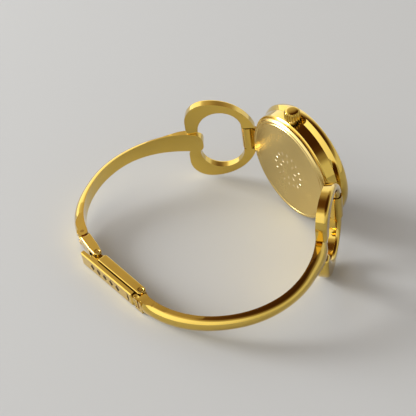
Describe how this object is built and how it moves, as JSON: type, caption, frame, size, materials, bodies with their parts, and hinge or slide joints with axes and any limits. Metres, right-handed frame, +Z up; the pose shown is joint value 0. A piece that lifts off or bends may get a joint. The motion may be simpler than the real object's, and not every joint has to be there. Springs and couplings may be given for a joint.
{
  "type": "bangle wristwatch",
  "caption": "Polished yellow metal bangle watch with a round snap-back case, open ring links, curved arms and a fold-over clasp",
  "frame": {"origin": "centre of the bounding box on the table that the watch lies on", "axes": "+X from the clasp towards the watch head, +Y to the left link and along the greatest width, +Z up, the way the crown points"},
  "size_m": [0.0528, 0.056, 0.0272],
  "materials": {
    "polished_gold": "mirror polished yellow gold",
    "satin_gold": "satin brushed yellow gold",
    "gold_pins": "polished",
    "crystal": "clear, polished",
    "dial": "champagne satin lacquer",
    "gilt_hands": "polished gilt",
    "gaskets": "matte",
    "white_plastic": "moulded",
    "movement_brass": "fine brushed",
    "movement_steel": "fine brushed",
    "wheels": "gilt",
    "magnet": "sintered",
    "copper": "enamelled copper wire",
    "circuit_board": "solder mask"
  },
  "bodies": {
    "case": {"case_middle": "polished_gold", "bezel": "polished_gold", "crystal": "crystal", "crystal_gasket": "gaskets", "case_back": "satin_gold", "case_back_gasket": "gaskets", "lug_left": "polished_gold", "lug_right": "polished_gold", "crown_tube": "movement_brass", "dial": "dial", "hour_markers": "gilt_hands", "movement_ring": "white_plastic", "main_plate": "movement_brass", "train_bridge": "movement_brass", "movement_screws": "movement_steel", "circuit_board": "circuit_board", "oscillator_can": "movement_steel", "coil": "copper", "stator": "movement_steel", "battery_cell": "movement_steel", "battery_clamp": "movement_brass"},
    "ring_left": {"ring_left": "polished_gold", "arm_pin_left": "gold_pins"},
    "ring_right": {"ring_right": "polished_gold", "arm_pin_right": "gold_pins"},
    "arm_left": {"arm_left": "polished_gold", "link_pin": "gold_pins"},
    "arm_right": {"arm_right": "polished_gold", "tongue_pin": "gold_pins", "cover_pin": "gold_pins"},
    "link": {"clasp_link": "polished_gold", "catch_bar": "gold_pins"},
    "tongue": {"clasp_tongue": "polished_gold"},
    "cover": {"clasp_cover": "polished_gold"},
    "setting": {"setting_lever": "movement_steel"},
    "crown": {"crown": "polished_gold", "winding_stem": "movement_steel", "crown_gasket": "gaskets", "sliding_pinion": "movement_steel"},
    "minute": {"minute_hand": "gilt_hands", "centre_wheel": "wheels"},
    "hour": {"hour_hand": "gilt_hands", "hour_wheel": "wheels"},
    "minute_wheel": {"minute_wheel": "wheels"},
    "third_wheel": {"third_wheel": "wheels"},
    "rotor": {"rotor": "magnet"}
  },
  "joints": [
    {"name": "ring_left_hinge", "type": "hinge", "parent": "case", "child": "ring_left", "pos_m": [0.01865, 0.01414, 0.01226], "axis": [0.2285, 0.022, -0.9733], "range_deg": [0, 40]},
    {"name": "ring_right_hinge", "type": "hinge", "parent": "case", "child": "ring_right", "pos_m": [0.01872, -0.01426, 0.01163], "axis": [-0.2285, -0.022, 0.9733], "range_deg": [0, 40]},
    {"name": "arm_left_hinge", "type": "hinge", "parent": "ring_left", "child": "arm_left", "pos_m": [0.00948, 0.02122, 0.01026], "axis": [0.2285, 0.022, -0.9733], "range_deg": [0, 70]},
    {"name": "arm_right_hinge", "type": "hinge", "parent": "ring_right", "child": "arm_right", "pos_m": [0.00959, -0.02129, 0.00933], "axis": [-0.2285, -0.022, 0.9733], "range_deg": [0, 70]},
    {"name": "link_hinge", "type": "hinge", "parent": "arm_left", "child": "link", "pos_m": [-0.02283, 0.01323, 0.0025], "axis": [-0.2285, -0.022, 0.9733], "range_deg": [0, 60]},
    {"name": "cover_hinge", "type": "hinge", "parent": "arm_right", "child": "cover", "pos_m": [-0.02407, -0.00811, 0.00172], "axis": [-0.2285, -0.022, 0.9733], "range_deg": [0, 105]},
    {"name": "tongue_hinge", "type": "hinge", "parent": "arm_right", "child": "tongue", "pos_m": [-0.02247, -0.0074, 0.00211], "axis": [-0.2285, -0.022, 0.9733], "range_deg": [0, 12.6]},
    {"name": "crown_pull", "type": "slide", "parent": "case", "child": "setting", "axis": [-0.2285, -0.022, 0.9733], "range_m": [0, 0.0009]},
    {"name": "crown_turn", "type": "hinge", "parent": "setting", "child": "crown", "pos_m": [0.02017, -0.00006, 0.01229], "axis": [-0.2285, -0.022, 0.9733], "continuous": true},
    {"name": "minute_turn", "type": "hinge", "parent": "case", "child": "minute", "pos_m": [0.02184, -0.00007, 0.01268], "axis": [-0.9735, 0.0025, -0.2285], "continuous": true},
    {"name": "hour_turn", "type": "hinge", "parent": "case", "child": "hour", "pos_m": [0.02184, -0.00007, 0.01268], "axis": [-0.9735, 0.0025, -0.2285], "continuous": true},
    {"name": "minute_wheel_turn", "type": "hinge", "parent": "case", "child": "minute_wheel", "pos_m": [0.02059, -0.00217, 0.01358], "axis": [-0.9735, 0.0025, -0.2285], "continuous": true},
    {"name": "third_wheel_turn", "type": "hinge", "parent": "case", "child": "third_wheel", "pos_m": [0.01949, -0.00206, 0.01172], "axis": [-0.9735, 0.0025, -0.2285], "continuous": true},
    {"name": "rotor_turn", "type": "hinge", "parent": "case", "child": "rotor", "pos_m": [0.01955, -0.00344, 0.01146], "axis": [-0.9735, 0.0025, -0.2285], "continuous": true}
  ],
  "couplings": [
    {"joint": "tongue_hinge", "follows": "cover_hinge", "ratio": 0.12},
    {"joint": "hour_turn", "follows": "minute_turn", "ratio": 0.083333},
    {"joint": "minute_wheel_turn", "follows": "minute_turn", "ratio": -0.33333},
    {"joint": "third_wheel_turn", "follows": "minute_turn", "ratio": -7.5},
    {"joint": "rotor_turn", "follows": "minute_turn", "ratio": 30}
  ]
}
